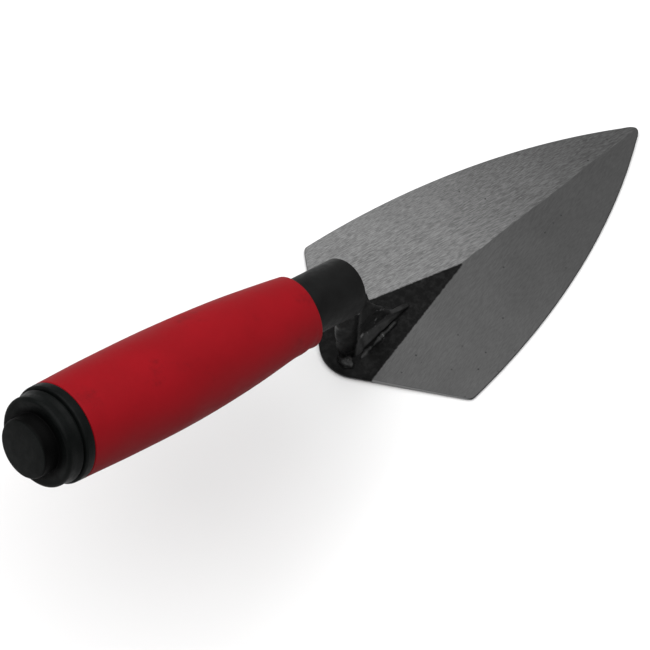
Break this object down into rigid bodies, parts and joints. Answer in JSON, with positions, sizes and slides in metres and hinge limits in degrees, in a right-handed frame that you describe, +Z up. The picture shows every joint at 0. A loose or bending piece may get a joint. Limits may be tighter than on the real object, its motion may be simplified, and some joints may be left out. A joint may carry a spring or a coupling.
{
  "type": "brick trowel",
  "caption": "Small brick trowel: pointed, ground steel blade on a welded gooseneck shank, with a barrel-shaped soft grip and an end cap with a round boss.",
  "frame": {"origin": "on the blade's flat underside, on the centreline, below the heel end of the shank's foot", "axes": "+X towards the blade's tip, +Y to the left of it, +Z up from the blade's underside to the handle"},
  "size_m": [0.2833, 0.0816, 0.1041],
  "materials": {
    "ground_steel": "ground with fine straight streaks on two facets, and a black-lacquered triangle left unground at the heel",
    "black_lacquer": "thin semi-gloss black lacquer over forged steel and weld metal",
    "ferrule_black": "smooth matte black coating",
    "black_plastic": "moulded black plastic, satin",
    "red_soft_grip": "matte soft-touch red elastomer with faint smudges"
  },
  "bodies": {
    "root": {"blade": "ground_steel", "shank": "black_lacquer", "weld_right": "black_lacquer", "weld_left": "black_lacquer", "weld_heel": "black_lacquer", "weld_toe": "black_lacquer", "ferrule": "ferrule_black", "handle_core": "black_plastic", "grip_sleeve": "red_soft_grip", "end_cap": "black_plastic"}
  },
  "joints": []
}
